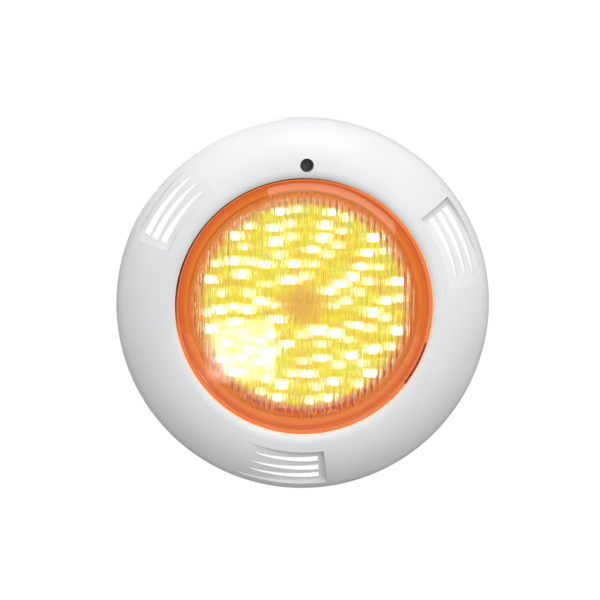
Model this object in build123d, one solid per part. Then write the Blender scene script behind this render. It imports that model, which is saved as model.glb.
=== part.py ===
from build123d import *
from math import asin, atan2, degrees, pi
import os

# Underwater pool light: a vented face ring holding a sealed LED lamp, its rear housing and its cable gland.
#
# Every piece is built about the lamp's axis, with z = 0 at the ring's back rim, z growing towards the water
# and y up, and is then stood up: the water side faces -Y, +Z is up and the wall is at y = 0.
# Lengths are in millimetres and angles in degrees, counted anticlockwise as a swimmer sees the light.

# face ring
RING_R = 128.0
RIM_HEIGHT = 7.0
CREST_R = 93.0
CREST_Z = 31.0
RING_WALL = 3.0
RIM_ARC_R = 16.0
APERTURE_R = 87.75
LIP_EDGE_Z = 28.0
SKIRT_WALL = 2.5

# stack of clamped rings, from the lip back to the clamp ring
LAMP_R = 89.0
LAMP_CLEARANCE = 0.6
LIP_SHELF_Z = 21.5
FACE_GASKET = 1.0
LENS_RIM = 5.0
LENS_SEAL = 0.5
BOWL_FLANGE = 6.5
LAMP_GASKET = 2.0
HOUSING_FLANGE = 4.0
CLAMP_RING = 1.5

# vent pockets in the ring
POCKETS = 3
POCKET_END = 38.4
POCKET_SWEEP = 31.0
POCKET_INNER_R = 98.8
POCKET_OUTER_R = 123.5
POCKET_SLOPE_FOOT = (119.8, 14.2)
POCKET_SLOPE_TOP_Z = 20.0
POCKET_TIP = 6.6
POCKET_WALL = 2.5
VENT_RADII = (104.8, 111.2, 117.0)
VENT_START = 26.5
VENT_STOP = 2.4
VENT_WIDTH = 4.2
VENT_MIDDLE_WIDTH = 3.1
VENT_TIP_WIDTH = 0.9

# fixings round the ring
FIXING_R = 95.5
BOSS_R = 4.0
M4_R = 2.0
PAN_HEAD = (4.0, 2.6, 1.5)
SMALL_HEAD = (3.6, 2.4, 1.3)
THREAD_GAP = 0.05
CLAMP_SCREW = 16.0
HOOK_SCREW = 17.0
TERMINAL_SCREW = 7.0
HOOK_SCREW_ANGLES = (264.0, 276.0)
FIXING_HOLE = 12.0
RIB = 1.8
RIB_START_Z = 13.0
RIB_STEPS = (45, 60, 75)

# pilot screw
PILOT_RADIUS_OUT = 96.3
PILOT_HOLE_R = 4.6
PILOT_BOSS_R = 6.5
PILOT_SEAT_Z = 18.5
PILOT_SEAT = 2.5
PILOT_NOTCH_R = 6.6
PILOT_HEAD_R = 4.25
PILOT_HEAD = 3.3
PILOT_RECESS = 2.0
PILOT_PLAY = 0.25
M5_R = 2.5
PILOT_END_Z = -30.0
CLIP_Z = 9.5
CLIP = 1.0
CLIP_R = 3.9
CLIP_MOUTH = 2.8
CLIP_PLAY = 0.05
GROOVE = 0.6

# lens
LENS_FACE_R = 86.0
LENS_SAG = 9.0
LENS_WALL = 3.5
LENS_RIM_INNER_R = 84.5
LENS_INNER_EDGE_Z = 17.3
SEAL_INSET = 0.4
GASKET_GAP = 0.1

# lamp bowl and boards
BOWL_ARC_R = 62.0
BOWL_INNER_ARC_R = 58.0
BOARD_R = 76.5
BOARD = 1.6
BOARD_Z = 6.4
LED_R = 2.5
LED_FLANGE_R = 2.9
LED_STRAIGHT = 5.6
LED_RINGS = 6
LED_FIRST_R = 20.0
LED_RING_PITCH = 9.2
LED_PITCH = 11.5
SPACER_OUT = 23.5
SPACER_TURN = 15.0
M3_HEAD_R = 2.6
SPACER = 18.0
SPACER_AF = 5.5
M3_R = 1.5
M3_LENGTH = 6.0
M3_HEAD = 1.9
M3_RECESS = 1.1
DRIVER_R = 32.0
DRIVER_PART_OUT = 12.0
RECTIFIER = (10.0, 5.0)
CAPACITOR_R = 5.0
CAPACITOR = 16.0
INDUCTOR_R = 6.0
INDUCTOR = 9.0
CHIP = (8.0, 1.6)
LEAD_R = 0.9
BASE_Z = -60.0
BASE_R = 28.0
BASE = 6.0
SPIGOT_R = 23.9
SPIGOT = 4.0
BARRIER = (3.0, 40.0, 4.0)
TERMINAL_TURN_UP = 5.0
TERMINAL_OUT = 12.0
TERMINAL_TAB = 1.2

# rear housing
HOUSING_R = 88.5
HOUSING_BACK_R = 76.0
HOUSING_BACK_Z = -84.0
HOUSING_WALL = 3.5
HOUSING_SHOULDER_Z = -10.0
HOUSING_SHOULDER = 40.0
HOUSING_CORNER = 22.0
HOUSING_RIBS = 12
HOUSING_RIB = 2.5
HOUSING_RIB_PROUD = 1.6
HOUSING_RIB_END_Z = -78.0

# hook at the bottom
HOOK_STRAP = 1.5
HOOK_FOOT_WIDTH = 30.0
HOOK_WIDTH = 14.0
HOOK_REACH = 16.0
HOOK_TOE = 8.0

# cable gland, lengths counted back from the housing's rear face
GLAND_Y = -30.0
GLAND_NECK_R = 8.0
GLAND_NECK = 12.0
GLAND_WASHER = 1.5
GLAND_HEX_AF = 24.0
GLAND_HEX = 5.0
GLAND_THREAD_R = 9.0
GLAND_THREAD = 10.0
GLAND_BORE_R = 4.6
GLAND_SOCKET_R = 6.6
GLAND_SEAT = 8.0
WASHER_R = 11.0
LOCKNUT_AF = 22.0
LOCKNUT = 4.5
CABLE_R = 4.25
SEAL_R = 6.5
SEAL_TIP_R = 5.6
SEAL_STANDS_OUT = 1.5
SLIP_RING = 1.0
NUT_GAP = 0.6
NUT_WALL = 3.0
NUT_GRIP_END = 2.0
NUT_END_R = 8.2
NUT_HOLE_R = 5.2
RUNNING_GAP = 0.08

# planes between the clamped pieces
SKIRT_R = LAMP_R + LAMP_CLEARANCE
LENS_FRONT_Z = LIP_SHELF_Z - FACE_GASKET
LENS_BACK_Z = LENS_FRONT_Z - LENS_RIM
BOWL_FRONT_Z = LENS_BACK_Z - LENS_SEAL
BOWL_BACK_Z = BOWL_FRONT_Z - BOWL_FLANGE
FLANGE_FRONT_Z = BOWL_BACK_Z - LAMP_GASKET
FLANGE_BACK_Z = FLANGE_FRONT_Z - HOUSING_FLANGE
CLAMP_BACK_Z = FLANGE_BACK_Z - CLAMP_RING
FLANGE_R = FIXING_R + BOSS_R
DRIVER_FRONT_Z = BOARD_Z - SPACER
DRIVER_BACK_Z = DRIVER_FRONT_Z - BOARD

POCKET_ENDS = [POCKET_END + 360 / POCKETS * i for i in range(POCKETS)]
FIXING_ANGLES = [end - POCKET_SWEEP / 2 + side for end in POCKET_ENDS for side in (-30, 30)]
STAND_UP = Rot(90, 0, 0)


def polar(radius, angle, z=0.0):
    """The place at that radius and angle, turned so that its x axis points outwards."""
    return Rot(0, 0, angle) * Pos(radius, 0, z)


def spin(*edges, arc=360.0):
    """The solid made by turning a closed outline of (radius, z) edges about the axis."""
    return revolve(Plane.XZ * make_face(Wire(edges)), Axis.Z, arc)


def spin_points(*points, arc=360.0):
    """The solid made by turning a polygon of (radius, z) corners about the axis."""
    return spin(*Polyline(*points, close=True).edges(), arc=arc)


def ring(inner_r, outer_r, low_z, high_z):
    """A flat ring between two radii and two heights."""
    tube = Cylinder(outer_r, high_z - low_z) - Cylinder(inner_r, high_z - low_z)
    return Pos(0, 0, (low_z + high_z) / 2) * tube


def rod(radius, low_z, high_z):
    """A solid cylinder on the z axis."""
    return Pos(0, 0, (low_z + high_z) / 2) * Cylinder(radius, high_z - low_z)


def hexagon(across_flats, low_z, high_z):
    """A hexagonal prism on the z axis."""
    outline = RegularPolygon(across_flats / 2, 6, major_radius=False)
    return Pos(0, 0, low_z) * extrude(outline, high_z - low_z)


def block(x_span, y_span, z_span):
    """A box given by its lowest and highest coordinate along each axis."""
    sizes = [high - low for low, high in (x_span, y_span, z_span)]
    middle = [(high + low) / 2 for low, high in (x_span, y_span, z_span)]
    return Pos(*middle) * Box(*sizes)


def group(places, piece):
    """Separate copies of one piece, one at each place."""
    return Compound([place * piece for place in places])


def screw(shank_r, length, head_r, head_h, recess_depth):
    """A cross-recessed pan-head screw: its seat is at z = 0, its head above and its shank below."""
    rise = head_h * 0.55
    body = spin(
        Line((0, -length), (shank_r - 0.4, -length)),
        Line((shank_r - 0.4, -length), (shank_r, 0.4 - length)),
        Line((shank_r, 0.4 - length), (shank_r, 0)),
        Line((shank_r, 0), (head_r, 0)),
        Line((head_r, 0), (head_r, head_h - rise)),
        RadiusArc((head_r, head_h - rise), (0, head_h), -(head_r**2 + rise**2) / (2 * rise)),
        Line((0, head_h), (0, -length)),
    )
    slot = Pos(0, 0, head_h - recess_depth / 2) * Box(head_r, head_r * 0.24, recess_depth)
    return body - slot - Rot(0, 0, 90) * slot


# ---- face ring ----


def dome_edges(inset):
    """The ring's domed section, from its rim to its crest, drawn in from the outside by inset."""
    drop = CREST_Z - RIM_HEIGHT
    reach = RING_R - CREST_R - RIM_ARC_R
    crown_r = (reach**2 + drop**2 - RIM_ARC_R**2) / (2 * (drop - RIM_ARC_R))
    crown_z = CREST_Z - crown_r
    turn = degrees(atan2(RIM_HEIGHT - crown_z, reach))
    rim = CenterArc((RING_R - RIM_ARC_R, RIM_HEIGHT), RIM_ARC_R - inset, 0, turn)
    crown = CenterArc((CREST_R, crown_z), crown_r - inset, turn, 90 - turn)
    return rim, crown


def ring_shell():
    """The moulded ring: rim, dome, rolled lip, the shelf the lamp seats on, and the skirt round the lamp."""
    skirt_out = SKIRT_R + SKIRT_WALL
    outer_rim, outer_crown = dome_edges(0)
    inner_rim, inner_crown = dome_edges(RING_WALL)
    lip = EllipticalCenterArc(
        (CREST_R, LIP_EDGE_Z), CREST_R - APERTURE_R, CREST_Z - LIP_EDGE_Z, start_angle=90, arc_size=90
    )
    return spin(
        Line((RING_R, 0), (RING_R, RIM_HEIGHT)),
        outer_rim,
        outer_crown,
        lip,
        Line((APERTURE_R, LIP_EDGE_Z), (APERTURE_R, LIP_SHELF_Z)),
        Line((APERTURE_R, LIP_SHELF_Z), (SKIRT_R, LIP_SHELF_Z)),
        Line((SKIRT_R, LIP_SHELF_Z), (SKIRT_R, FLANGE_FRONT_Z)),
        Line((SKIRT_R, FLANGE_FRONT_Z), (skirt_out, FLANGE_FRONT_Z)),
        Line((skirt_out, FLANGE_FRONT_Z), (skirt_out, CREST_Z - RING_WALL)),
        Line((skirt_out, CREST_Z - RING_WALL), (CREST_R, CREST_Z - RING_WALL)),
        inner_crown,
        inner_rim,
        Line((RING_R - RING_WALL, RIM_HEIGHT), (RING_R - RING_WALL, 0)),
        Line((RING_R - RING_WALL, 0), (RING_R, 0)),
    )


def dome_block():
    """The space under the dome, from the skirt out to the rim, that ribs and trays are cut from."""
    rim, crown = dome_edges(RING_WALL / 2)
    skirt_mid = SKIRT_R + SKIRT_WALL / 2
    top = CREST_Z - RING_WALL / 2
    edge = RING_R - RING_WALL / 2
    return spin(
        Line((skirt_mid, RIM_HEIGHT), (edge, RIM_HEIGHT)),
        rim,
        crown,
        Line((CREST_R, top), (skirt_mid, top)),
        Line((skirt_mid, top), (skirt_mid, RIM_HEIGHT)),
    )


def sector(profile, start, stop):
    """A turned polygon that covers only the angles from start to stop."""
    return Rot(0, 0, start) * spin_points(*profile, arc=stop - start)


def under_floor(lowering):
    """All that lies under a pocket's floor: the dome itself, tipped down about the pocket's shallow end."""
    rim, crown = dome_edges(0)
    filled_dome = spin(
        Line((0, 0), (RING_R, 0)),
        Line((RING_R, 0), (RING_R, RIM_HEIGHT)),
        rim,
        crown,
        Line((CREST_R, CREST_Z), (0, CREST_Z)),
        Line((0, CREST_Z), (0, 0)),
    )
    return Rot(0, 0, -POCKET_SWEEP) * Rot(-POCKET_TIP, 0, 0) * Pos(0, 0, -lowering) * filled_dome


def pocket_tray():
    """The plate and walls that close a vent pocket on the ring's inside."""
    wall = POCKET_WALL
    inner, outer = POCKET_INNER_R - wall, RING_R - RING_WALL / 2
    profile = [(inner, RIM_HEIGHT), (outer, RIM_HEIGHT), (outer, CREST_Z), (inner, CREST_Z)]
    margin = degrees(wall / POCKET_OUTER_R)
    span = sector(profile, -POCKET_SWEEP - margin, margin)
    return (dome_block() & span) - under_floor(wall)


def pocket_hollow():
    """The scoop: square at its deep end, running out to the surface at the other, its outer wall sloped."""
    above = CREST_Z + 4
    profile = [
        (POCKET_INNER_R, RIM_HEIGHT),
        POCKET_SLOPE_FOOT,
        (POCKET_OUTER_R, POCKET_SLOPE_TOP_Z),
        (RING_R, above),
        (POCKET_INNER_R, above),
    ]
    return sector(profile, -POCKET_SWEEP, 0) - under_floor(0)


def vent_slot(radius):
    """One curved slot through a pocket's floor, wide at its deep end and tapering towards the other."""
    stations = [
        (-VENT_START, VENT_TIP_WIDTH),
        (-(VENT_START + VENT_STOP) / 2, VENT_MIDDLE_WIDTH),
        (-VENT_STOP, VENT_WIDTH),
    ]
    inner, outer = [
        ThreePointArc(*[Vector(radius + side * width / 2, 0).rotate(Axis.Z, angle) for angle, width in stations])
        for side in (-1, 1)
    ]
    outline = [inner, Line(inner @ 1, outer @ 1), outer, Line(outer @ 0, inner @ 0)]
    return extrude(make_face(Wire(outline)), CREST_Z)


def stiffening_rib():
    """One radial rib under the dome."""
    slab = block((SKIRT_R, RING_R), (-RIB / 2, RIB / 2), (RIB_START_Z, CREST_Z))
    return dome_block() & slab


def fixing_boss():
    """A screw boss under the dome, solid."""
    return rod(BOSS_R, FLANGE_FRONT_Z, CREST_Z - 2 * RING_WALL)


def face_ring():
    body = ring_shell()
    for end in POCKET_ENDS:
        body += Rot(0, 0, end) * pocket_tray()
        for step in RIB_STEPS:
            body += Rot(0, 0, end - POCKET_SWEEP / 2 + step) * stiffening_rib()
    for angle in [*FIXING_ANGLES, *HOOK_SCREW_ANGLES]:
        body += polar(FIXING_R, angle) * fixing_boss()
    body += polar(PILOT_RADIUS_OUT, 90) * rod(PILOT_BOSS_R, PILOT_SEAT_Z - PILOT_SEAT, CREST_Z - RING_WALL / 2)
    body -= rod(SKIRT_R, 0, LIP_SHELF_Z)
    for end in POCKET_ENDS:
        body -= Rot(0, 0, end) * pocket_hollow()
        for radius in VENT_RADII:
            body -= Rot(0, 0, end) * vent_slot(radius)
    for angle in [*FIXING_ANGLES, *HOOK_SCREW_ANGLES]:
        body -= polar(FIXING_R, angle) * rod(M4_R + THREAD_GAP, 0, FLANGE_FRONT_Z + FIXING_HOLE)
    body -= polar(PILOT_RADIUS_OUT, 90) * rod(PILOT_HOLE_R, PILOT_SEAT_Z, CREST_Z + 1)
    body -= polar(PILOT_RADIUS_OUT, 90) * rod(M5_R + PILOT_PLAY, 0, PILOT_SEAT_Z)
    return body


def pilot_screw():
    """The long captive screw at the top, with the groove its retaining clip sits in."""
    whole = screw(M5_R, PILOT_SEAT_Z - PILOT_END_Z, PILOT_HEAD_R, PILOT_HEAD, PILOT_RECESS)
    groove = ring(M5_R - GROOVE, CLIP_R, CLIP_Z, CLIP_Z + CLIP)
    return polar(PILOT_RADIUS_OUT, 90, PILOT_SEAT_Z) * whole - polar(PILOT_RADIUS_OUT, 90) * groove


def pilot_clip():
    """The open retaining clip that keeps the pilot screw in the ring."""
    clip = ring(M5_R - GROOVE + CLIP_PLAY, CLIP_R, CLIP_Z + CLIP_PLAY, CLIP_Z + CLIP - CLIP_PLAY)
    mouth = block((0, CLIP_R + 1), (-CLIP_MOUTH / 2, CLIP_MOUTH / 2), (CLIP_Z, CLIP_Z + CLIP))
    return polar(PILOT_RADIUS_OUT, 90) * (clip - mouth)


# ---- lens and its seals ----


def cap_arc(radius, edge_z, sag):
    """The edge from the axis out to a spherical cap's rim."""
    sphere_r = (radius**2 + sag**2) / (2 * sag)
    half = degrees(asin(radius / sphere_r))
    return CenterArc((0, edge_z + sag - sphere_r), sphere_r, 90 - half, half)


def lamp_lens():
    """The domed lens: a thick flat rim round a shallow spherical cap."""
    rim_edge = (LAMP_R, LENS_FRONT_Z)
    inner_edge = (LENS_RIM_INNER_R, LENS_INNER_EDGE_Z)
    front_z, back_z = LENS_FRONT_Z + LENS_SAG, LENS_FRONT_Z + LENS_SAG - LENS_WALL
    return spin(
        cap_arc(LENS_FACE_R, LENS_FRONT_Z, LENS_SAG),
        Line((LENS_FACE_R, LENS_FRONT_Z), rim_edge),
        Line(rim_edge, (LAMP_R, LENS_BACK_Z)),
        Line((LAMP_R, LENS_BACK_Z), (LENS_RIM_INNER_R, LENS_BACK_Z)),
        Line((LENS_RIM_INNER_R, LENS_BACK_Z), inner_edge),
        cap_arc(LENS_RIM_INNER_R, LENS_INNER_EDGE_Z, back_z - LENS_INNER_EDGE_Z),
        Line((0, back_z), (0, front_z)),
    )


def face_gasket():
    """The soft ring between the lip's shelf and the lens rim."""
    return ring(APERTURE_R + 2 * GASKET_GAP, SKIRT_R - GASKET_GAP, LENS_FRONT_Z, LIP_SHELF_Z)


def lens_seal():
    """The bead that bonds the lens to the bowl."""
    return ring(LENS_RIM_INNER_R + 2 * SEAL_INSET, LAMP_R - SEAL_INSET, BOWL_FRONT_Z, LENS_BACK_Z)


def lamp_gasket():
    """The flat ring between the bowl's flange and the rear housing."""
    return ring(HOUSING_R - HOUSING_WALL + 2 * GASKET_GAP, SKIRT_R - GASKET_GAP, FLANGE_FRONT_Z, BOWL_BACK_Z)


# ---- lamp ----


def lamp_bowl():
    """The lamp's shell: a flange with a sloped mouth, a ledge for the LED board, and a rounded back."""
    socket_r, socket_z = SPIGOT_R + THREAD_GAP, BASE_Z + SPIGOT
    flange_foot, shoulder = (83.0, BOWL_BACK_Z), (80.5, 2.0)
    neck_out, neck_in = (30.0, -54.0), (27.5, -52.0)
    ledge = (74.0, BOARD_Z - 3)
    step = (79.0, BOARD_Z + 3.6)
    mouth = (85.0, BOWL_FRONT_Z)
    return spin(
        Line(mouth, (LAMP_R, BOWL_FRONT_Z)),
        Line((LAMP_R, BOWL_FRONT_Z), (LAMP_R, BOWL_BACK_Z)),
        Line((LAMP_R, BOWL_BACK_Z), flange_foot),
        Line(flange_foot, shoulder),
        RadiusArc(shoulder, neck_out, BOWL_ARC_R),
        Line(neck_out, (neck_out[0], BASE_Z)),
        Line((neck_out[0], BASE_Z), (socket_r, BASE_Z)),
        Line((socket_r, BASE_Z), (socket_r, socket_z)),
        Line((socket_r, socket_z), (neck_in[0], socket_z)),
        Line((neck_in[0], socket_z), neck_in),
        RadiusArc(neck_in, ledge, -BOWL_INNER_ARC_R),
        Line(ledge, (ledge[0], BOARD_Z)),
        Line((ledge[0], BOARD_Z), (step[0], BOARD_Z)),
        Line((step[0], BOARD_Z), step),
        Line(step, mouth),
    )


def led_places(colour):
    """Where the LEDs of one colour stand: every third one round each ring of the board."""
    places = []
    for row in range(LED_RINGS):
        radius = LED_FIRST_R + LED_RING_PITCH * row
        count = 3 * round(2 * pi * radius / LED_PITCH / 3)
        for i in range(colour, count, 3):
            places.append(polar(radius, 360 / count * i + 7 * row, BOARD_Z + BOARD))
    return places


def led():
    """One round LED, flanged at its foot and domed at its tip."""
    tip = LED_STRAIGHT + LED_R
    return spin(
        Line((0, 0), (LED_FLANGE_R, 0)),
        Line((LED_FLANGE_R, 0), (LED_FLANGE_R, 1)),
        Line((LED_FLANGE_R, 1), (LED_R, 1)),
        Line((LED_R, 1), (LED_R, LED_STRAIGHT)),
        CenterArc((0, LED_STRAIGHT), LED_R, 0, 90),
        Line((0, tip), (0, 0)),
    )


def spacer_places(z):
    return [polar(SPACER_OUT, 90 * i + SPACER_TURN, z) for i in range(4)]


def board(radius, back_z):
    """A round circuit board with four screw holes."""
    plate = rod(radius, back_z, back_z + BOARD)
    for place in spacer_places(0):
        plate -= place * rod(M3_R + 0.1, back_z, back_z + BOARD)
    return plate


def board_spacer():
    return hexagon(SPACER_AF, 0, SPACER) - rod(M3_R + THREAD_GAP, 0, SPACER)


def m3_screw():
    return screw(M3_R, M3_LENGTH, M3_HEAD_R, M3_HEAD, M3_RECESS)


def under_driver(x, y, piece):
    """Puts a piece drawn below z = 0 on the driver board's back."""
    return Pos(x, y, DRIVER_BACK_Z) * piece


def bridge_rectifier():
    """The rectifier block, its corner cut to mark its first leg."""
    side, height = RECTIFIER
    body = Pos(0, 0, -height / 2) * Box(side, side, height)
    corner = Pos(side / 2, side / 2, -height / 2) * Rot(0, 0, 45) * Box(side * 0.3, side * 0.6, height)
    return under_driver(DRIVER_PART_OUT, DRIVER_PART_OUT, body - corner)


def driver_capacitors():
    """Two electrolytic cans with the rolled groove near their feet."""
    can = rod(CAPACITOR_R, -CAPACITOR, 0) - ring(CAPACITOR_R - 0.5, CAPACITOR_R + 1, -3, -2)
    sides = (-DRIVER_PART_OUT, DRIVER_PART_OUT)
    return Compound([under_driver(-DRIVER_PART_OUT, side, can) for side in sides])


def driver_inductor():
    """A drum choke: two flanges and the winding between them."""
    flange = 1.5
    drum = rod(INDUCTOR_R, -INDUCTOR, flange - INDUCTOR) + rod(INDUCTOR_R, -flange, 0)
    drum += rod(INDUCTOR_R - 0.8, flange - INDUCTOR, -flange)
    return under_driver(DRIVER_PART_OUT, -DRIVER_PART_OUT, drum)


def controller_chip():
    """The chip that sets the colour, on the front of the driver board."""
    side, height = CHIP
    return Pos(0, 0, DRIVER_FRONT_Z + height / 2) * Box(side, side, height)


def lead_route(side):
    """A lead's centre line, from the driver board back to the lamp base."""
    x_board, x_base, y_base = side * 5.0, side * 7.0, 5.0
    first_bend, second_bend = DRIVER_BACK_Z - 12, DRIVER_BACK_Z - 24
    points = [
        (x_board, 0, DRIVER_BACK_Z),
        (x_board, 0, first_bend),
        (x_base, y_base, second_bend),
        (x_base, y_base, BASE_Z + SPIGOT),
    ]
    return FilletPolyline(*points, radius=12)


def driver_leads():
    """The two insulated leads that join the driver board to the lamp base."""
    leads = []
    for side in (-1, 1):
        route = lead_route(side)
        leads.append(sweep((route ^ 0) * Circle(LEAD_R), route))
    return Compound(leads)


def lamp_base():
    """The insulating base that plugs into the bowl's neck, with a barrier between its two terminals."""
    back = BASE_Z - BASE
    thickness, length, height = BARRIER
    base = rod(BASE_R, back, BASE_Z) + rod(SPIGOT_R, BASE_Z, BASE_Z + SPIGOT)
    base += Pos(0, 0, back - height / 2) * Box(thickness, length, height)
    for side in (-1, 1):
        base -= Pos(side * TERMINAL_OUT, 0, 0) * rod(M4_R + THREAD_GAP, back, BASE_Z)
    return base


def lamp_terminals():
    """Two brass tabs, each turned up at its outer edge."""
    back = BASE_Z - BASE
    half_x, half_y = 6.0, 5.0
    tab = block((-half_x, half_x), (-half_y, half_y), (back - TERMINAL_TAB, back))
    tab += block((half_x - TERMINAL_TAB, half_x), (-half_y, half_y), (back - TERMINAL_TURN_UP, back))
    tab -= rod(M4_R + THREAD_GAP, back - TERMINAL_TAB, back)
    return group([Rot(0, 0, turn) * Pos(TERMINAL_OUT, 0, 0) for turn in (0, 180)], tab)


def terminal_screws():
    seat = BASE_Z - BASE - TERMINAL_TAB
    places = [Pos(side * TERMINAL_OUT, 0, seat) * Rot(180, 0, 0) for side in (-1, 1)]
    return group(places, screw(M4_R, TERMINAL_SCREW, *SMALL_HEAD))


# ---- rear housing and clamp ----


def notch():
    """The gap that lets the pilot screw pass the flange and the clamp ring."""
    return polar(PILOT_RADIUS_OUT, 90) * rod(PILOT_NOTCH_R, CLAMP_BACK_Z - 1, FLANGE_FRONT_Z + 1)


def fixing_holes(radius):
    """All the screw holes of the flange and the clamp ring, as one tool."""
    hole = rod(radius, CLAMP_BACK_Z - 1, FLANGE_FRONT_Z + 1)
    return [polar(FIXING_R, angle) * hole for angle in [*FIXING_ANGLES, *HOOK_SCREW_ANGLES]]


def housing_can(inset, front_z):
    """The closed rear can, drawn in by inset all round."""
    radius, back_r, back_z = HOUSING_R - inset, HOUSING_BACK_R - inset, HOUSING_BACK_Z + inset
    side = FilletPolyline(
        (radius, front_z),
        (radius, HOUSING_SHOULDER_Z),
        (back_r, back_z),
        (0, back_z),
        radius=[HOUSING_SHOULDER, HOUSING_CORNER - inset],
    )
    return spin(*side.edges(), Line((0, back_z), (0, front_z)), Line((0, front_z), (radius, front_z)))


def housing_rib():
    """One strengthening rib along the can."""
    slab = block((60, HOUSING_R + 1), (-HOUSING_RIB / 2, HOUSING_RIB / 2), (HOUSING_RIB_END_Z, FLANGE_BACK_Z))
    return slab & housing_can(-HOUSING_RIB_PROUD, FLANGE_BACK_Z)


def rear_housing():
    body = housing_can(0, FLANGE_FRONT_Z) + rod(FLANGE_R, FLANGE_BACK_Z, FLANGE_FRONT_Z)
    for i in range(HOUSING_RIBS):
        body += Rot(0, 0, 360 / HOUSING_RIBS * (i + 0.5)) * housing_rib()
    body -= housing_can(HOUSING_WALL, FLANGE_FRONT_Z)
    body -= notch()
    for hole in fixing_holes(M4_R + 0.3):
        body -= hole
    gland_hole = rod(GLAND_NECK_R + GASKET_GAP, HOUSING_BACK_Z - 1, HOUSING_BACK_Z + 2 * HOUSING_WALL)
    return body - Pos(0, GLAND_Y, 0) * gland_hole


def clamp_ring():
    body = ring(HOUSING_R + 2, FLANGE_R, CLAMP_BACK_Z, FLANGE_BACK_Z) - notch()
    for hole in fixing_holes(M4_R + 0.2):
        body -= hole
    return body


def clamp_screws():
    places = [polar(FIXING_R, angle, CLAMP_BACK_Z) * Rot(180, 0, 0) for angle in FIXING_ANGLES]
    return group(places, screw(M4_R, CLAMP_SCREW, *PAN_HEAD))


def niche_hook():
    """The bent strap at the bottom that drops behind the niche's edge."""
    seat, end = CLAMP_BACK_Z, CLAMP_BACK_Z - HOOK_REACH
    inner, outer = HOUSING_R + 2, FLANGE_R - 0.5
    half = HOOK_WIDTH / 2
    hook = block((-HOOK_FOOT_WIDTH / 2, HOOK_FOOT_WIDTH / 2), (-outer, -inner), (seat - HOOK_STRAP, seat))
    hook += block((-half, half), (-inner - HOOK_STRAP, -inner), (end, seat))
    hook += block((-half, half), (-inner - HOOK_TOE, -inner), (end, end + HOOK_STRAP))
    for angle in HOOK_SCREW_ANGLES:
        hook -= polar(FIXING_R, angle) * rod(M4_R + 0.2, seat - HOOK_STRAP, seat)
    return hook


def hook_screws():
    seat = CLAMP_BACK_Z - HOOK_STRAP
    places = [polar(FIXING_R, angle, seat) * Rot(180, 0, 0) for angle in HOOK_SCREW_ANGLES]
    return group(places, screw(M4_R, HOOK_SCREW, *SMALL_HEAD))


# ---- cable gland ----


def at_gland(piece):
    """Places a piece drawn with z = 0 on the housing's rear face and z growing backwards."""
    return Pos(0, GLAND_Y, HOUSING_BACK_Z) * Rot(180, 0, 0) * piece


THREAD_END = GLAND_WASHER + GLAND_HEX + GLAND_THREAD
SEAL_END = THREAD_END + SEAL_STANDS_OUT
NUT_FLOOR = SEAL_END + SLIP_RING
NUT_START = GLAND_WASHER + GLAND_HEX + NUT_GAP


def gland_body():
    """Neck through the housing, hexagon, and the thread the nut runs on."""
    body = rod(GLAND_NECK_R, -GLAND_NECK, GLAND_WASHER)
    body += hexagon(GLAND_HEX_AF, GLAND_WASHER, GLAND_WASHER + GLAND_HEX)
    body += rod(GLAND_THREAD_R, GLAND_WASHER + GLAND_HEX, THREAD_END)
    body -= rod(GLAND_BORE_R, -GLAND_NECK, THREAD_END)
    return at_gland(body - rod(GLAND_SOCKET_R, GLAND_SEAT, THREAD_END))


def gland_washer():
    return at_gland(ring(GLAND_NECK_R + GASKET_GAP, WASHER_R, 0, GLAND_WASHER))


def gland_locknut():
    front, back = -HOUSING_WALL - LOCKNUT, -HOUSING_WALL
    return at_gland(hexagon(LOCKNUT_AF, front, back) - rod(GLAND_NECK_R + THREAD_GAP, front, back))


def gland_seal():
    """The rubber bush that grips the cable, its outer end tapered."""
    outer = spin_points(
        (CABLE_R, GLAND_SEAT),
        (SEAL_R, GLAND_SEAT),
        (SEAL_R, THREAD_END),
        (SEAL_TIP_R, SEAL_END),
        (CABLE_R, SEAL_END),
    )
    return at_gland(outer)


def gland_slip_ring():
    return at_gland(ring(GLAND_BORE_R, GLAND_THREAD_R - 0.3, SEAL_END, NUT_FLOOR))


def gland_nut():
    """The cap nut: hexagonal grip, domed end and a hole for the cable."""
    end = NUT_FLOOR + NUT_WALL
    cap_r = GLAND_HEX_AF / 2 - NUT_GAP
    body = hexagon(GLAND_HEX_AF, NUT_START, NUT_FLOOR - NUT_GRIP_END)
    body += spin_points((0, NUT_START), (cap_r, NUT_START), (cap_r, NUT_FLOOR - 1), (NUT_END_R, end), (0, end))
    body -= rod(GLAND_THREAD_R + RUNNING_GAP, NUT_START, NUT_FLOOR)
    return at_gland(body - rod(NUT_HOLE_R, NUT_FLOOR, end))


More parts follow.
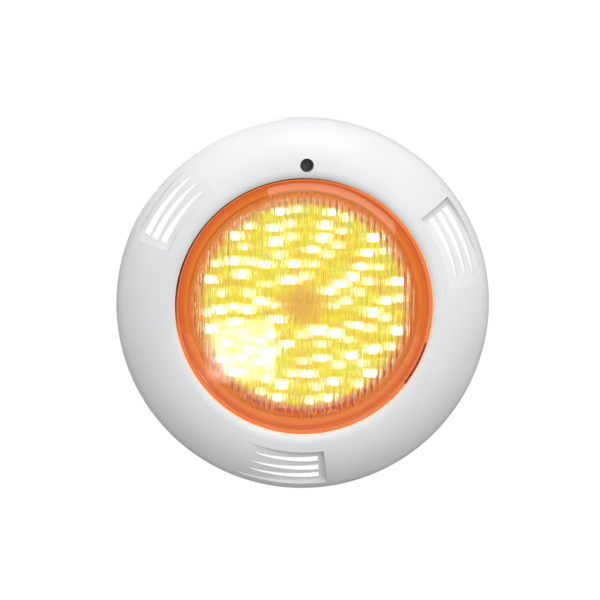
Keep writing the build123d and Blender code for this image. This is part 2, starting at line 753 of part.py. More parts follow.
def pieces():
    """Every piece by name, lying about the z axis as drawn."""
    return {
        "face_ring": face_ring(),
        "pilot_screw": pilot_screw(),
        "pilot_clip": pilot_clip(),
        "face_gasket": face_gasket(),
        "lamp_lens": lamp_lens(),
        "lens_seal": lens_seal(),
        "lamp_bowl": lamp_bowl(),
        "lamp_gasket": lamp_gasket(),
        "led_board": board(BOARD_R, BOARD_Z),
        "leds_red": group(led_places(0), led()),
        "leds_green": group(led_places(1), led()),
        "leds_blue": group(led_places(2), led()),
        "board_screws": group(spacer_places(BOARD_Z + BOARD), m3_screw()),
        "board_spacers": group(spacer_places(DRIVER_FRONT_Z), board_spacer()),
        "driver_board": board(DRIVER_R, DRIVER_BACK_Z),
        "driver_screws": group([place * Rot(180, 0, 0) for place in spacer_places(DRIVER_BACK_Z)], m3_screw()),
        "bridge_rectifier": bridge_rectifier(),
        "driver_capacitors": driver_capacitors(),
        "driver_inductor": driver_inductor(),
        "controller_chip": controller_chip(),
        "driver_leads": driver_leads(),
        "lamp_base": lamp_base(),
        "lamp_terminals": lamp_terminals(),
        "terminal_screws": terminal_screws(),
        "rear_housing": rear_housing(),
        "clamp_ring": clamp_ring(),
        "clamp_screws": clamp_screws(),
        "niche_hook": niche_hook(),
        "hook_screws": hook_screws(),
        "gland_body": gland_body(),
        "gland_washer": gland_washer(),
        "gland_locknut": gland_locknut(),
        "gland_seal": gland_seal(),
        "gland_slip_ring": gland_slip_ring(),
        "gland_nut": gland_nut(),
    }


def stood_up(piece):
    """The piece in the part's frame, each of its solids placed on its own."""
    return Compound([STAND_UP * solid for solid in piece.solids()])


os.makedirs("parts", exist_ok=True)
for name, piece in pieces().items():
    export_step(stood_up(piece), f"parts/{name}.step")
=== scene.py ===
from collections import Counter
from math import atan2, cos, floor, hypot, radians, sin, sqrt

import bmesh
import bpy
from mathutils import Matrix, Vector


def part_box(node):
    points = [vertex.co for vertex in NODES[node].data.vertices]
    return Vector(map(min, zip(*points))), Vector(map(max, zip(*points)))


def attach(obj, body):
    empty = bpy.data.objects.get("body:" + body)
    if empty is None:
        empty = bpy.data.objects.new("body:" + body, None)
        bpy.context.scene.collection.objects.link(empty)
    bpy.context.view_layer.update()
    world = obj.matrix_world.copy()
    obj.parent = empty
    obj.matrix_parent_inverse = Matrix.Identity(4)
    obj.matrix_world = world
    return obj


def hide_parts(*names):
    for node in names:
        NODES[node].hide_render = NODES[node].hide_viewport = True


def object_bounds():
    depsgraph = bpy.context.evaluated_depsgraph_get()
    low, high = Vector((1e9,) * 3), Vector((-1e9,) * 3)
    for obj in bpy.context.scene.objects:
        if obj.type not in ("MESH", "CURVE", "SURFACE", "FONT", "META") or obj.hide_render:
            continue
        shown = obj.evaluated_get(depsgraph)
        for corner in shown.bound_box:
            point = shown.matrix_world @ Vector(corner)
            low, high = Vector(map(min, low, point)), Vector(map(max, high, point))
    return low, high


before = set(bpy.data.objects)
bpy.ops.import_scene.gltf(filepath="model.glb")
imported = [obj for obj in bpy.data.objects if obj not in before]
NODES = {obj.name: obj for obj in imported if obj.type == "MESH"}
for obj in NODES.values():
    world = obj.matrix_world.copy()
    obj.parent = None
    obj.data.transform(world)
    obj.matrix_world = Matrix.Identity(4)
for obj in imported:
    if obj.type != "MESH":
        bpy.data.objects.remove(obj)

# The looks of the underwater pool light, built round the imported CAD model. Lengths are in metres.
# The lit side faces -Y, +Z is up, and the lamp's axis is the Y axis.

CAD_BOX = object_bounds()

# the camera, seen from the object: angles in degrees, focal length and sensor in millimetres
AZIMUTH = -2.5
ELEVATION = 6.5
ROLL = 0.9
DISTANCE = 1.3
FOCAL_LENGTH = 113.6
SENSOR_WIDTH = 36.0
AIM = Vector((-0.0023, -0.007, 0.0030))

# the lights: where each stands, the point it looks at, its two sides, and its power in watts
KEY = ((0.04, -0.45, 0.70), (0.0, -0.02, 0.0), (0.4, 0.4), 1.5)
FILL = ((0.16, -0.95, 0.46), (0.0, -0.02, 0.0), (0.6, 0.6), 3.6)
BACK = ((-0.35, 1.05, 0.50), (0.0, 0.05, 0.0), (0.6, 0.6), 4.0)
SOFTBOX = ((-0.225, -0.95, -0.300), (-0.05, -0.02, -0.04), (0.31, 0.30), 4.4)

# the softbox fades in and out, as shares of its width and height, and its patches map noise to strength
FADE_ACROSS = ((0.0, 0.25), (0.95, 1.0))
FADE_UP = ((0.0, 0.2), (0.8, 1.0))
PATCH_NOISE = (0.38, 0.62)
PATCH_STRENGTH = (0.35, 1.2)

# the studio's walls, as (height, grey) from straight down to straight up, and their grey in reflections
WALLS = ((0.0, 0.24), (0.4, 0.52), (0.55, 0.72), (1.0, 0.54))
WALLS_IN_GLOSS = 0.28
FLOOR_HALF = 6.0
FLOOR_BELOW = 1.4

# the lens: a smooth domed front, and an inner face whose grid of optics ends in a smooth band
LENS_LOW, LENS_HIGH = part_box("lamp_lens")
LENS_R = LENS_HIGH.x
LENS_TOP_Y = LENS_LOW.y
LENS_BACK_Y = LENS_HIGH.y
FACE_R = 0.0874
FACE_EDGE_Y = -0.0205
FACE_STEPS = 20
INNER_R = 0.0845
INNER_EDGE_Y = -0.0173
INNER_TOP_Y = -0.0260
GRID_R = 0.0780
BAND_STEPS = 4
SHARP_ANGLE = 40

# the optics: bricks in columns and rows, each with upright flutes that run out near the grid's edge
BRICK_W = 0.0130
BRICK_H = 0.0124
BRICK_ROW_Z = 0.0022
BRICK_DEPTH = 0.00035
BRICK_STEP = 0.00045
BRICKS_R = 0.0750
FLUTES = 3
FLUTE_DEPTH = 0.00070
FLUTE_MID_DEPTH = 0.00024
FLUTE_GROWS_R = (0.052, 0.068)
RUN_OUT_R = 0.0722
RUN_OUT = 0.35
CELLS_PER_FLUTE = 8
CELLS_PER_BRICK = 10
STRIATION = 0.00085
STRIATION_SCALE = (1500.0, 1.0, 60.0)

# painted red light at the flutes' ends: where their sides slope towards +X, and in teeth along the bottom
END_SLOPE = (0.13, 0.22)
END_R = (RUN_OUT_R - 0.006, RUN_OUT_R - 0.001)
END_Z = (-0.055, -0.015)
TOOTH_SCALE = (330.0, 1.0, 90.0)
TOOTH_NOISE = (0.44, 0.50)
TOOTH_R = ((0.0706, 0.0716), (0.0736, 0.0748))
TOOTH_Z = (-0.066, -0.052)

# the ring's lip, whose inner side has a painted glow of the lamp's light, from behind the lens's tip to where
# LIP_END_Y ends
LIP_R = 0.08775
LIP_REACH = 0.003
LIP_END_Y = (-0.021, -0.018)
LIP_GLOW_STRENGTH = 0.45

# the board with its painted glow of the lamp's light: its amber middle, how far its bands of colour start
# inside its edge, and its dashes
BOARD_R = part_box("led_board")[1].x
BOARD_AMBER_R = (0.010, 0.017)
BOARD_BANDS = (0.009, 0.005, 0.002)
DASH_SCALE = (560.0, 1.0, 170.0)
DASH_NOISE = (0.56, 0.61)
DASH_R = (0.007, 0.010)

# the LEDs, and the bowl round them, whose painted glow ends just behind the LEDs' feet
LED_TIP_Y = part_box("leds_green")[0].y
LED_FOOT_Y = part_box("leds_green")[1].y
BOWL_END_Y = (LED_FOOT_Y + 0.001, LED_FOOT_Y + 0.003)
BOWL_DEEP_R = (0.0800, 0.0845)

# the seals round the lens, with a painted glow of the lamp's light: the painted shade at upper left, and the
# painted shade of the slot at lower right by its angles in radians
SHADE_X = 0.65
SHADE_Z = 0.75
SHADE_FROM = (0.035, 0.065)
SHADE_R = (0.0858, 0.0864)
SLOT_ANGLES = ((-0.65, -0.64), (-0.29, -0.28))
SLOT_R = (0.0862, 0.0866)

# the colours of the lamp's light; an LED's are its foot's and its tip's
YELLOW = (0.88, 0.76, 0.02)
LIME = (0.74, 0.84, 0.12)
AMBER = (0.95, 0.52, 0.05)
SALMON = (0.88, 0.28, 0.12)
ORANGE = (0.84, 0.185, 0.004)
DEEP = (0.70, 0.09, 0.002)
BROWN = (0.62, 0.22, 0.01)
# painted shade on the seals: at upper left, and where the slot shows at lower right
PAINTED_SHADE_RED = (0.06, 0.004, 0.002)
SLOT_PAINTED_SHADE_RED = (0.30, 0.012, 0.006)
LIP_PAINTED_GLOW = (1.0, 0.66, 0.46)
RED_LED = ((1.0, 0.62, 0.20), (1.0, 0.85, 0.60))
GREEN_LED = ((0.9, 0.95, 0.5), (0.95, 1.0, 0.85))

# the tints of the lens's inner face, and the painted red light at its flutes' ends and teeth
OPTIC_TINT = (1.0, 0.98, 0.94)
END_LOW_PAINTED_RED = (0.34, 0.02, 0.01)
END_HIGH_PAINTED_RED = (0.62, 0.16, 0.08)
TOOTH_PAINTED_RED = (0.55, 0.07, 0.05)


# ---- node helpers ----


def new_material(name):
    """A material with an empty tree, its Principled shader and its output."""
    material = bpy.data.materials.new(name)
    material.use_nodes = True
    tree = material.node_tree
    tree.nodes.clear()
    output = tree.nodes.new("ShaderNodeOutputMaterial")
    shader = tree.nodes.new("ShaderNodeBsdfPrincipled")
    tree.links.new(shader.outputs["BSDF"], output.inputs["Surface"])
    return material, tree, shader


def node(tree, kind, inputs=None, **settings):
    """Adds a node, sets its properties, and links or sets its inputs by name or number."""
    made = tree.nodes.new("ShaderNode" + kind)
    for key, value in settings.items():
        setattr(made, key, value)
    for key, value in (inputs or {}).items():
        if isinstance(value, bpy.types.NodeSocket):
            tree.links.new(value, made.inputs[key])
        else:
            made.inputs[key].default_value = value
    return made


def math(tree, operation, a, b=0.0):
    """One Math node's result."""
    return node(tree, "Math", {0: a, 1: b}, operation=operation).outputs[0]


def times(tree, a, b):
    """a multiplied by b."""
    return math(tree, "MULTIPLY", a, b)


def place(tree):
    """Position on the surface, in the object's own metres."""
    return node(tree, "TexCoord").outputs["Object"]


def axes(tree):
    """x, y and z of the position."""
    split = node(tree, "SeparateXYZ", {0: place(tree)})
    return split.outputs[0], split.outputs[1], split.outputs[2]


def radius_out(tree):
    """Distance from the lamp's axis."""
    x, _, z = axes(tree)
    return math(tree, "SQRT", math(tree, "ADD", times(tree, x, x), times(tree, z, z)))


def noise(tree, scale, detail=2.0, roughness=0.5, vector=None):
    """A noise texture's value."""
    made = node(tree, "TexNoise", {"Scale": scale, "Detail": detail, "Roughness": roughness})
    tree.links.new(vector or place(tree), made.inputs["Vector"])
    return made.outputs["Fac"]


def stretched_noise(tree, scales, detail, roughness=0.5):
    """Noise with a scale for each axis: a small one draws the grain out that way."""
    mapped = node(tree, "Mapping", {"Vector": place(tree), "Scale": scales}).outputs[0]
    return noise(tree, 1.0, detail, roughness, mapped)


def ramp(tree, value, stops):
    """A colour ramp over (position, colour) stops."""
    made = node(tree, "ValToRGB", {"Fac": value})
    elements = made.color_ramp.elements
    while len(elements) < len(stops):
        elements.new(0.5)
    for element, (position, colour) in zip(elements, stops):
        element.position = position
        element.color = (*colour, 1.0)
    return made.outputs["Color"]


def span(tree, value, low, high, to_low=0.0, to_high=1.0):
    """Maps low..high to to_low..to_high, clamped."""
    made = node(tree, "MapRange", {0: value, 1: low, 2: high, 3: to_low, 4: to_high})
    return made.outputs[0]


def fall(tree, value, low, high):
    """1 below low, and down to 0 at high."""
    return span(tree, value, low, high, 1.0, 0.0)


def band(tree, value, rise, drop):
    """Up from 0 to 1 over rise, and down again over drop, each a (from, to) pair."""
    return times(tree, span(tree, value, *rise), fall(tree, value, *drop))


def mix(tree, factor, a, b):
    """A colour between a and b."""
    made = node(tree, "Mix", data_type="RGBA")
    for key, value in ((0, factor), (6, a), (7, b)):
        if isinstance(value, bpy.types.NodeSocket):
            tree.links.new(value, made.inputs[key])
        else:
            made.inputs[key].default_value = value if key == 0 else (*value, 1.0)
    return made.outputs[2]


def bump(tree, shader, height, distance):
    """Bumps the shader's normal by height, in metres of distance."""
    made = node(tree, "Bump", {"Height": height, "Distance": distance, "Strength": 1.0})
    tree.links.new(made.outputs["Normal"], shader.inputs["Normal"])


def grey(value):
    """A grey as a colour."""
    return (value, value, value)


def dress(material, *names):
    """Gives CAD nodes' objects one material."""
    for name in names:
        mesh = NODES[name].data
        mesh.materials.clear()
        mesh.materials.append(material)


# ---- plain materials ----


def moulded(name, light, dark, roughness, grain=900.0, speck=0.05):
    """Moulded plastic: a fine spark-eroded grain, slow cloudy colour and a slightly uneven gloss."""
    material, tree, shader = new_material(name)
    cloud = noise(tree, 14.0, 3.0)
    fleck = noise(tree, grain, 1.0)
    tint = span(tree, cloud, 0.35, 0.65)
    colour = mix(tree, tint, dark, light)
    colour = mix(tree, span(tree, fleck, 0.58, 0.72, 0.0, speck), colour, dark)
    tree.links.new(colour, shader.inputs["Base Color"])
    gloss = span(tree, noise(tree, 40.0, 4.0), 0.3, 0.7, roughness - 0.04, roughness + 0.06)
    tree.links.new(gloss, shader.inputs["Roughness"])
    shader.inputs["IOR"].default_value = 1.53
    bump(tree, shader, fleck, 0.00004)
    return material


def metal(name, light, dark, roughness, scales):
    """Machined or brushed metal: fine lines along one way, and a little staining."""
    material, tree, shader = new_material(name)
    lines = stretched_noise(tree, scales, 4.0, 0.6)
    stain = noise(tree, 90.0, 3.0)
    colour = mix(tree, span(tree, stain, 0.35, 0.7), light, dark)
    tree.links.new(colour, shader.inputs["Base Color"])
    shader.inputs["Metallic"].default_value = 1.0
    gloss = span(tree, lines, 0.3, 0.7, roughness - 0.06, roughness + 0.1)
    tree.links.new(gloss, shader.inputs["Roughness"])
    bump(tree, shader, lines, 0.00003)
    return material


def soft(name, light, dark, roughness):
    """Rubber or silicone: matte, with a fine bloom."""
    material, tree, shader = new_material(name)
    bloom = noise(tree, 260.0, 3.0)
    colour = mix(tree, span(tree, bloom, 0.35, 0.65), dark, light)
    tree.links.new(colour, shader.inputs["Base Color"])
    gloss = span(tree, bloom, 0.3, 0.7, roughness - 0.05, roughness + 0.08)
    tree.links.new(gloss, shader.inputs["Roughness"])
    bump(tree, shader, bloom, 0.00005)
    return material


def ring_plastic():
    """The ring's white plastic, with a painted glow of the lamp's light on its lip's inner side."""
    ring_white = moulded("ring_white", (0.86, 0.865, 0.87), (0.80, 0.81, 0.82), 0.33)
    tree = ring_white.node_tree
    shader = tree.nodes["Principled BSDF"]
    _, y, _ = axes(tree)
    # painted glow: the lamp's light on the lip's inner side, painted as emission on the white plastic
    deep = band(tree, y, (LENS_TOP_Y, LENS_TOP_Y + LIP_REACH), LIP_END_Y)
    lip_painted_glow = times(tree, fall(tree, radius_out(tree), LIP_R, LIP_R + LIP_REACH), deep)
    tree.links.new(mix(tree, lip_painted_glow, grey(0.0), LIP_PAINTED_GLOW), shader.inputs["Emission Color"])
    shader.inputs["Emission Strength"].default_value = LIP_GLOW_STRENGTH
    return ring_white


# ---- lit materials ----


def lit(name, colour_of, strength, base, roughness):
    """A surface that glows: the LEDs as lamps, and on the other parts a painted glow of the lamp's own light
    that washes them. colour_of builds its colour in the tree.
    """
    material, tree, shader = new_material(name)
    tree.links.new(colour_of(tree), shader.inputs["Emission Color"])
    shader.inputs["Emission Strength"].default_value = strength
    shade = span(tree, noise(tree, 120.0, 3.0), 0.3, 0.7)
    tree.links.new(mix(tree, shade, base, [0.8 * c for c in base]), shader.inputs["Base Color"])
    shader.inputs["Roughness"].default_value = roughness
    shader.inputs["Specular IOR Level"].default_value = 0.1
    return material


def board_colour(tree):
    """Painted glow of the lamp's light on the board: yellow and lime in patches, amber with brown dashes in
    the middle, and orange at the edge.
    """
    patches = noise(tree, 75.0, 3.0, 0.6)
    colour = ramp(tree, patches, [(0.36, AMBER), (0.46, YELLOW), (0.56, YELLOW), (0.68, LIME)])
    out = radius_out(tree)
    outer, middle, inner = [BOARD_R - inset for inset in BOARD_BANDS]
    colour = mix(tree, fall(tree, out, *BOARD_AMBER_R), colour, AMBER)
    colour = mix(tree, span(tree, out, outer, middle), colour, SALMON)
    colour = mix(tree, span(tree, out, middle, inner), colour, ORANGE)
    dashes = span(tree, stretched_noise(tree, DASH_SCALE, 0.0), *DASH_NOISE)
    return mix(tree, times(tree, dashes, fall(tree, out, *DASH_R)), colour, BROWN)


def bowl_colour(tree):
    """The bowl's mouth, with a painted glow of the lamp's spill: orange, deeper towards the seal, and unlit
    further back.
    """
    out = radius_out(tree)
    _, y, _ = axes(tree)
    colour = mix(tree, noise(tree, 22.0, 2.0), ORANGE, [1.08 * c for c in ORANGE])
    colour = mix(tree, span(tree, out, *BOWL_DEEP_R), colour, DEEP)
    return mix(tree, fall(tree, y, *BOWL_END_Y), grey(0.0), colour)


def seal_colour(tree):
    """Silicone with a painted glow of the lamp's light, painted shade at upper left, and painted shade in
    dark red where a slot shows at lower right.
    """
    x, _, z = axes(tree)
    out = radius_out(tree)
    painted_glow = mix(tree, noise(tree, 60.0, 2.0), ORANGE, SALMON)
    up_left = math(tree, "SUBTRACT", times(tree, z, SHADE_Z), times(tree, x, SHADE_X))
    # painted shade along the upper left, where the lip shades the joint
    shade = times(tree, span(tree, up_left, *SHADE_FROM), span(tree, out, *SHADE_R))
    painted_glow = mix(tree, shade, painted_glow, PAINTED_SHADE_RED)
    # painted shade: dark red where a slot shows at lower right
    slot = band(tree, math(tree, "ARCTAN2", z, x), *SLOT_ANGLES)
    return mix(tree, times(tree, slot, span(tree, out, *SLOT_R)), painted_glow, SLOT_PAINTED_SHADE_RED)


def led_colour(foot, tip):
    """What builds an LED's light, from its foot's colour to its domed tip's."""
    def build(tree):
        _, y, _ = axes(tree)
        height = fall(tree, y, LED_TIP_Y, LED_FOOT_Y)
        grain = span(tree, noise(tree, 400.0, 1.0), 0.3, 0.7, 0.85, 1.0)
        return mix(tree, times(tree, height, grain), foot, tip)
    return build


# ---- the lens's materials ----


def clear_plastic(shader):
    """Makes a shader the polycarbonate that light passes through."""
    shader.inputs["Transmission Weight"].default_value = 1.0
    shader.inputs["IOR"].default_value = 1.5


def lens_glass():
    """Clear polycarbonate with a faint flow haze."""
    material, tree, shader = new_material("lens_clear")
    haze = span(tree, noise(tree, 60.0, 3.0), 0.35, 0.7, 0.0, 0.035)
    cast = span(tree, noise(tree, 30.0, 2.0), 0.3, 0.7)
    tree.links.new(mix(tree, cast, (1.0, 0.97, 0.93), (1.0, 0.99, 0.97)), shader.inputs["Base Color"])
    tree.links.new(haze, shader.inputs["Roughness"])
    clear_plastic(shader)
    shader.inputs["Specular IOR Level"].default_value = 0.25
    return material


def lens_texture():
    """The inner face: upright striations spread each LED sideways, and the flutes' ends carry painted red
    light.
    """
    material, tree, shader = new_material("lens_textured")
    bump(tree, shader, stretched_noise(tree, STRIATION_SCALE, 1.0), STRIATION)
    _, _, z = axes(tree)
    out = radius_out(tree)
    normal = node(tree, "SeparateXYZ", {0: node(tree, "NewGeometry").outputs["Normal"]})
    # painted red light on the flute sides that face +X near the flutes' ends, darker towards the bottom
    ends = times(tree, span(tree, normal.outputs[0], *END_SLOPE), span(tree, out, *END_R))
    end_painted_red = mix(tree, span(tree, z, *END_Z), END_LOW_PAINTED_RED, END_HIGH_PAINTED_RED)
    colour = mix(tree, ends, OPTIC_TINT, end_painted_red)
    # painted red light in teeth along the bottom
    teeth = span(tree, stretched_noise(tree, TOOTH_SCALE, 1.0), *TOOTH_NOISE)
    low = times(tree, band(tree, out, *TOOTH_R), fall(tree, z, *TOOTH_Z))
    colour = mix(tree, times(tree, low, teeth), colour, TOOTH_PAINTED_RED)
    tree.links.new(colour, shader.inputs["Base Color"])
    shader.inputs["Roughness"].default_value = 0.18
    clear_plastic(shader)
    return material


# ---- the lens's mesh ----


def cap_y(r, edge_r, edge_y, top_y):
    """Height of a shallow spherical cap at radius r, as y."""
    sag = edge_y - top_y
    sphere = (edge_r**2 + sag**2) / (2 * sag)
    return top_y + sphere - sqrt(max(sphere**2 - r * r, 0.0))


def optic_relief(x, z):
    """Depth of the bricks and flutes moulded into the inner face, towards the LEDs."""
    z_brick = z - BRICK_ROW_Z
    column, row = floor(x / BRICK_W), floor(z_brick / BRICK_H)
    across = (x / BRICK_W - column) * FLUTES % 1.0
    up = z_brick / BRICK_H - row
    out = hypot(x, z)
    grown = (out - FLUTE_GROWS_R[0]) / (FLUTE_GROWS_R[1] - FLUTE_GROWS_R[0])
    grown = min(max(grown, 0.0), 1.0)
    flute = (FLUTE_MID_DEPTH + (FLUTE_DEPTH - FLUTE_MID_DEPTH) * grown) * (2.0 * across - 1.0) ** 2
    pillow = 4.0 * up * (1.0 - up)
    middle_r = hypot((column + 0.5) * BRICK_W, (row + 0.5) * BRICK_H + BRICK_ROW_Z)
    brick = BRICK_STEP + BRICK_DEPTH * pillow if middle_r < BRICKS_R else 0.0
    run_out = RUN_OUT * max(out - RUN_OUT_R, 0.0)
    return max(flute + brick - run_out, 0.0)


def inner_y(x, z):
    """The inner face with its optics, as y."""
    return cap_y(hypot(x, z), INNER_R, INNER_EDGE_Y, INNER_TOP_Y) + optic_relief(x, z)


def optic_grid(verts, faces):
    """Fills the inner face with a grid of fine cells, and gives its border in order round the axis."""
    step_x, step_z = BRICK_W / FLUTES / CELLS_PER_FLUTE, BRICK_H / CELLS_PER_BRICK
    columns, rows = int(GRID_R / step_x), int(GRID_R / step_z)
    index, edges = {}, Counter()

    def vertex(i, j):
        if (i, j) not in index:
            index[i, j] = len(verts)
            x, z = i * step_x, j * step_z + BRICK_ROW_Z
            verts.append((x, inner_y(x, z), z))
        return index[i, j]

    for j in range(-rows - 2, rows):
        for i in range(-columns, columns):
            corners = [(i, j), (i, j + 1), (i + 1, j + 1), (i + 1, j)]
            if max(hypot(a * step_x, b * step_z + BRICK_ROW_Z) for a, b in corners) > GRID_R:
                continue
            cell = [vertex(a, b) for a, b in corners]
            faces.append(cell)
            edges.update(frozenset(pair) for pair in zip(cell, cell[1:] + cell[:1]))
    border = {v for edge, uses in edges.items() if uses == 1 for v in edge}
    border = sorted(border, key=lambda v: atan2(verts[v][2], verts[v][0]))
    for v in border:
        angle = atan2(verts[v][2], verts[v][0])
        x, z = GRID_R * cos(angle), GRID_R * sin(angle)
        verts[v] = (x, inner_y(x, z), z)
    return border


def rim_and_front():
    """The lens's section from the grid's edge out and round, as (radius, y): band, rim, then the front."""
    steps = [GRID_R + (INNER_R - GRID_R) * k / BAND_STEPS for k in range(1, BAND_STEPS + 1)]
    section = [(r, cap_y(r, INNER_R, INNER_EDGE_Y, INNER_TOP_Y)) for r in steps]
    section += [(INNER_R, LENS_BACK_Y), (LENS_R, LENS_BACK_Y), (LENS_R, FACE_EDGE_Y)]
    front = [FACE_R * k / FACE_STEPS for k in range(FACE_STEPS, 0, -1)]
    return section + [(r, cap_y(r, FACE_R, FACE_EDGE_Y, LENS_TOP_Y)) for r in front]


def lens_mesh():
    """The lens as one closed skin, and how many of its first faces are the inner face's grid."""
    verts, faces = [], []
    last = optic_grid(verts, faces)
    optic_faces = len(faces)
    angles = [atan2(verts[v][2], verts[v][0]) for v in last]
    for r, y in rim_and_front():
        start = len(verts)
        verts.extend((r * cos(angle), y, r * sin(angle)) for angle in angles)
        loop = list(range(start, start + len(angles)))
        for k in range(len(loop)):
            faces.append((last[k - 1], last[k], loop[k], loop[k - 1]))
        last = loop
    tip = len(verts)
    verts.append((0.0, LENS_TOP_Y, 0.0))
    faces.extend((last[k - 1], last[k], tip) for k in range(len(last)))
    return verts, faces, optic_faces


def make_lens():
    """The lens with its optics, in place of the CAD's plain cap."""
    mesh = bpy.data.meshes.new("lens_optic")
    verts, faces, optic_faces = lens_mesh()
    mesh.from_pydata(verts, [], faces)
    skin = bmesh.new()
    skin.from_mesh(mesh)
    bmesh.ops.recalc_face_normals(skin, faces=skin.faces)
    skin.to_mesh(mesh)
    skin.free()
    mesh.shade_smooth()
    mesh.set_sharp_from_angle(angle=radians(SHARP_ANGLE))
    mesh.materials.append(lens_glass())
    mesh.materials.append(lens_texture())
    for polygon in mesh.polygons[:optic_faces]:
        polygon.material_index = 1
    lens = bpy.data.objects.new("lens_optic", mesh)
    bpy.context.scene.collection.objects.link(lens)
    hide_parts("lamp_lens")
    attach(lens, "root")
    return lens


# ---- camera, lights and floor ----


def direction(azimuth, elevation):
    """The way from the object to a camera at these angles."""
    a, e = radians(azimuth), radians(elevation)
    return Vector((sin(a) * cos(e), -cos(a) * cos(e), sin(e)))


def facing(way):
    """The turn that makes a camera or a light look against a direction, upright."""
    return way.to_track_quat("Z", "Y").to_matrix().to_4x4()


def add_camera():
    """The camera, a little above the lamp's axis and a little to its left."""
    data = bpy.data.cameras.new("camera")
    data.lens = FOCAL_LENGTH
    data.sensor_width = SENSOR_WIDTH
    camera = bpy.data.objects.new("camera", data)
    back = direction(AZIMUTH, ELEVATION)
    stand = Matrix.Translation(AIM + back * DISTANCE)
    roll = Matrix.Rotation(radians(ROLL), 4, "Z")
    camera.matrix_world = stand @ facing(back) @ roll
    bpy.context.scene.collection.objects.link(camera)
    bpy.context.scene.camera = camera


def area_light(name, position, target, size, power):
    """An area light that looks at a point and that the camera doesn't see."""
    data = bpy.data.lights.new(name, "AREA")
    data.shape = "RECTANGLE"
    data.size, data.size_y = size
    data.energy = power
    light = bpy.data.objects.new(name, data)
    position = Vector(position)
    light.matrix_world = Matrix.Translation(position) @ facing(position - Vector(target))
    light.visible_camera = False
    bpy.context.scene.collection.objects.link(light)
    return light


def add_lights():
    """A key light above, a fill in front that leaves no glint, and a light that shows the back."""
    area_light("key", *KEY)
    fill = area_light("fill", *FILL)
    fill.visible_glossy = False
    area_light("back", *BACK)


def add_softbox(lens):
    """The softbox whose patchy reflection lies low on the left of the lens, fading out towards its edges."""
    light = area_light("softbox", *SOFTBOX)
    light.visible_diffuse = False
    light.visible_transmission = False
    lit_only = bpy.data.collections.new("softbox_lights")
    lit_only.objects.link(lens)
    light.light_linking.receiver_collection = lit_only
    light.data.use_nodes = True
    tree = light.data.node_tree
    on_light = node(tree, "NewGeometry").outputs["Parametric"]
    split = node(tree, "SeparateXYZ", {0: on_light})
    across = band(tree, split.outputs[0], *FADE_ACROSS)
    up = band(tree, split.outputs[1], *FADE_UP)
    patches = span(tree, noise(tree, 6.0, 3.0, 0.6, on_light), *PATCH_NOISE, *PATCH_STRENGTH)
    strength = times(tree, times(tree, across, up), patches)
    tree.links.new(strength, tree.nodes["Emission"].inputs["Strength"])


def add_world():
    """White to the camera, and to everything else soft studio walls that are palest round the horizon."""
    world = bpy.data.worlds.new("studio")
    bpy.context.scene.world = world
    world.use_nodes = True
    tree = world.node_tree
    tree.nodes.clear()
    split = node(tree, "SeparateXYZ", {0: node(tree, "TexCoord").outputs["Generated"]})
    height = span(tree, split.outputs[2], -1.0, 1.0)
    colour = ramp(tree, height, [(at, grey(value)) for at, value in WALLS])
    path = node(tree, "LightPath")
    colour = mix(tree, path.outputs["Is Glossy Ray"], colour, grey(WALLS_IN_GLOSS))
    colour = mix(tree, path.outputs["Is Camera Ray"], colour, grey(1.0))
    background = node(tree, "Background", {"Color": colour, "Strength": 1.0})
    output = node(tree, "OutputWorld")
    tree.links.new(background.outputs[0], output.inputs["Surface"])


def add_floor():
    """A plain pale floor, far enough under the hanging light for views from below."""
    half, z = FLOOR_HALF, CAD_BOX[0].z - FLOOR_BELOW
    mesh = bpy.data.meshes.new("floor")
    corners = [(-half, -half, z), (half, -half, z), (half, half, z), (-half, half, z)]
    mesh.from_pydata(corners, [], [(0, 1, 2, 3)])
    floor_object = bpy.data.objects.new("floor", mesh)
    material, _, shader = new_material("floor_white")
    shader.inputs["Base Color"].default_value = (0.9, 0.9, 0.9, 1.0)
    shader.inputs["Roughness"].default_value = 0.9
    shader.inputs["Emission Color"].default_value = (1.0, 1.0, 1.0, 1.0)
    shader.inputs["Emission Strength"].default_value = 1.0
    mesh.materials.append(material)
    floor_object.visible_diffuse = False
    floor_object.visible_glossy = False
    bpy.context.scene.collection.objects.link(floor_object)


# ---- which CAD node takes which material ----


def dress_outside():
    """The ring, the rear housing, the gland and the soft parts round them."""
    dress(ring_plastic(), "face_ring")
    housing_white = moulded("housing_white", (0.74, 0.75, 0.75), (0.66, 0.68, 0.68), 0.45)
    dress(housing_white, "rear_housing")
    nylon = moulded("nylon_black", (0.035, 0.035, 0.04), (0.02, 0.02, 0.022), 0.42, speck=0.2)
    dress(nylon, "gland_body", "gland_locknut", "gland_nut")
    rubber = soft("rubber_black", (0.035, 0.035, 0.035), (0.018, 0.018, 0.018), 0.65)
    dress(rubber, "gland_washer", "gland_seal")
    silicone = soft("silicone", (0.72, 0.70, 0.66), (0.62, 0.60, 0.56), 0.6)
    dress(silicone, "lamp_gasket")


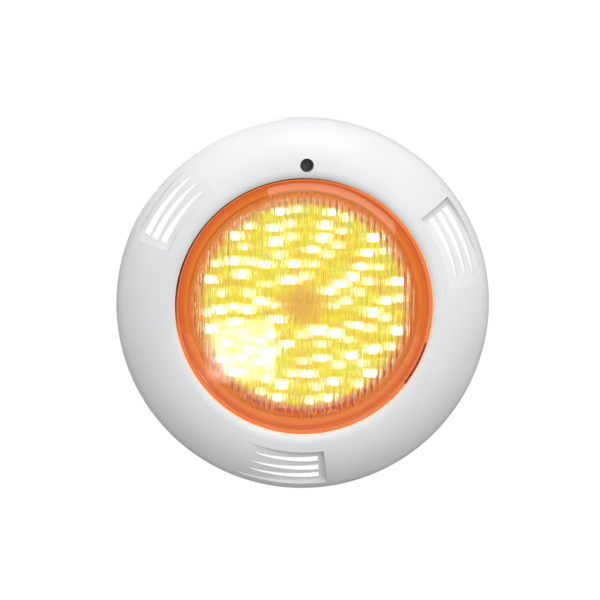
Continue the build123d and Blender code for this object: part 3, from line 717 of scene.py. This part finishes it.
def dress_metal():
    """Stainless fixings, the darker pilot screw, and brass inside the lamp and the gland."""
    steel = metal("steel", (0.62, 0.62, 0.63), (0.50, 0.50, 0.51), 0.28, (40.0, 900.0, 40.0))
    dress(steel, "pilot_clip", "clamp_ring", "clamp_screws", "niche_hook", "hook_screws")
    dark_steel = metal("dark_steel", (0.24, 0.24, 0.25), (0.13, 0.13, 0.14), 0.34, (40.0, 900.0, 40.0))
    dress(dark_steel, "pilot_screw")
    brass = metal("brass", (0.78, 0.55, 0.22), (0.62, 0.42, 0.16), 0.3, (60.0, 700.0, 60.0))
    dress(brass, "board_screws", "board_spacers", "driver_screws")
    dress(brass, "lamp_terminals", "terminal_screws", "gland_slip_ring")


def dress_electronics():
    """The driver board and what it carries, its leads and the lamp's base."""
    mask = moulded("driver_mask", (0.03, 0.22, 0.10), (0.02, 0.15, 0.07), 0.4)
    dress(mask, "driver_board")
    epoxy = moulded("chip_epoxy", (0.03, 0.03, 0.035), (0.015, 0.015, 0.02), 0.5, grain=600.0)
    dress(epoxy, "bridge_rectifier", "controller_chip")
    sleeve = moulded("capacitor_sleeve", (0.03, 0.04, 0.09), (0.02, 0.03, 0.06), 0.3)
    dress(sleeve, "driver_capacitors")
    ferrite = moulded("ferrite", (0.09, 0.09, 0.10), (0.05, 0.05, 0.06), 0.5, grain=500.0, speck=0.4)
    dress(ferrite, "driver_inductor")
    sheath = soft("sheath_red", (0.50, 0.05, 0.04), (0.40, 0.03, 0.03), 0.5)
    dress(sheath, "driver_leads")
    ceramic = moulded("base_ceramic", (0.78, 0.75, 0.68), (0.70, 0.67, 0.60), 0.55, grain=300.0)
    dress(ceramic, "lamp_base")


def dress_lamp():
    """What the lamp lights up, with a painted glow of its light; the red and green LEDs glow as the lamp
    itself. The blue LEDs are off, and have only a painted glow of the others' light.
    """
    # the board: a painted glow of the LEDs' light
    dress(lit("board_painted_glow", board_colour, 0.90, (0.10, 0.08, 0.03), 0.5), "led_board")
    # the bowl: a painted glow of the lamp's spill
    dress(lit("bowl_painted_glow", bowl_colour, 0.88, (0.06, 0.02, 0.005), 0.35), "lamp_bowl")
    dress(lit("silicone_painted_glow", seal_colour, 0.85, (0.20, 0.06, 0.02), 0.5), "face_gasket", "lens_seal")
    dress(lit("led_red_lit", led_colour(*RED_LED), 2.0, (0.10, 0.05, 0.02), 0.1), "leds_red")
    dress(lit("led_green_lit", led_colour(*GREEN_LED), 3.2, (0.06, 0.10, 0.03), 0.1), "leds_green")
    # the blue LEDs are off: a painted glow of the others' light
    dress(lit("led_blue_painted_glow", led_colour(YELLOW, YELLOW), 1.05, (0.04, 0.04, 0.08), 0.1), "leds_blue")


add_camera()
add_world()
add_floor()
add_lights()
dress_outside()
dress_metal()
dress_electronics()
dress_lamp()
add_softbox(make_lens())

bpy.context.scene.view_settings.view_transform = "Standard"
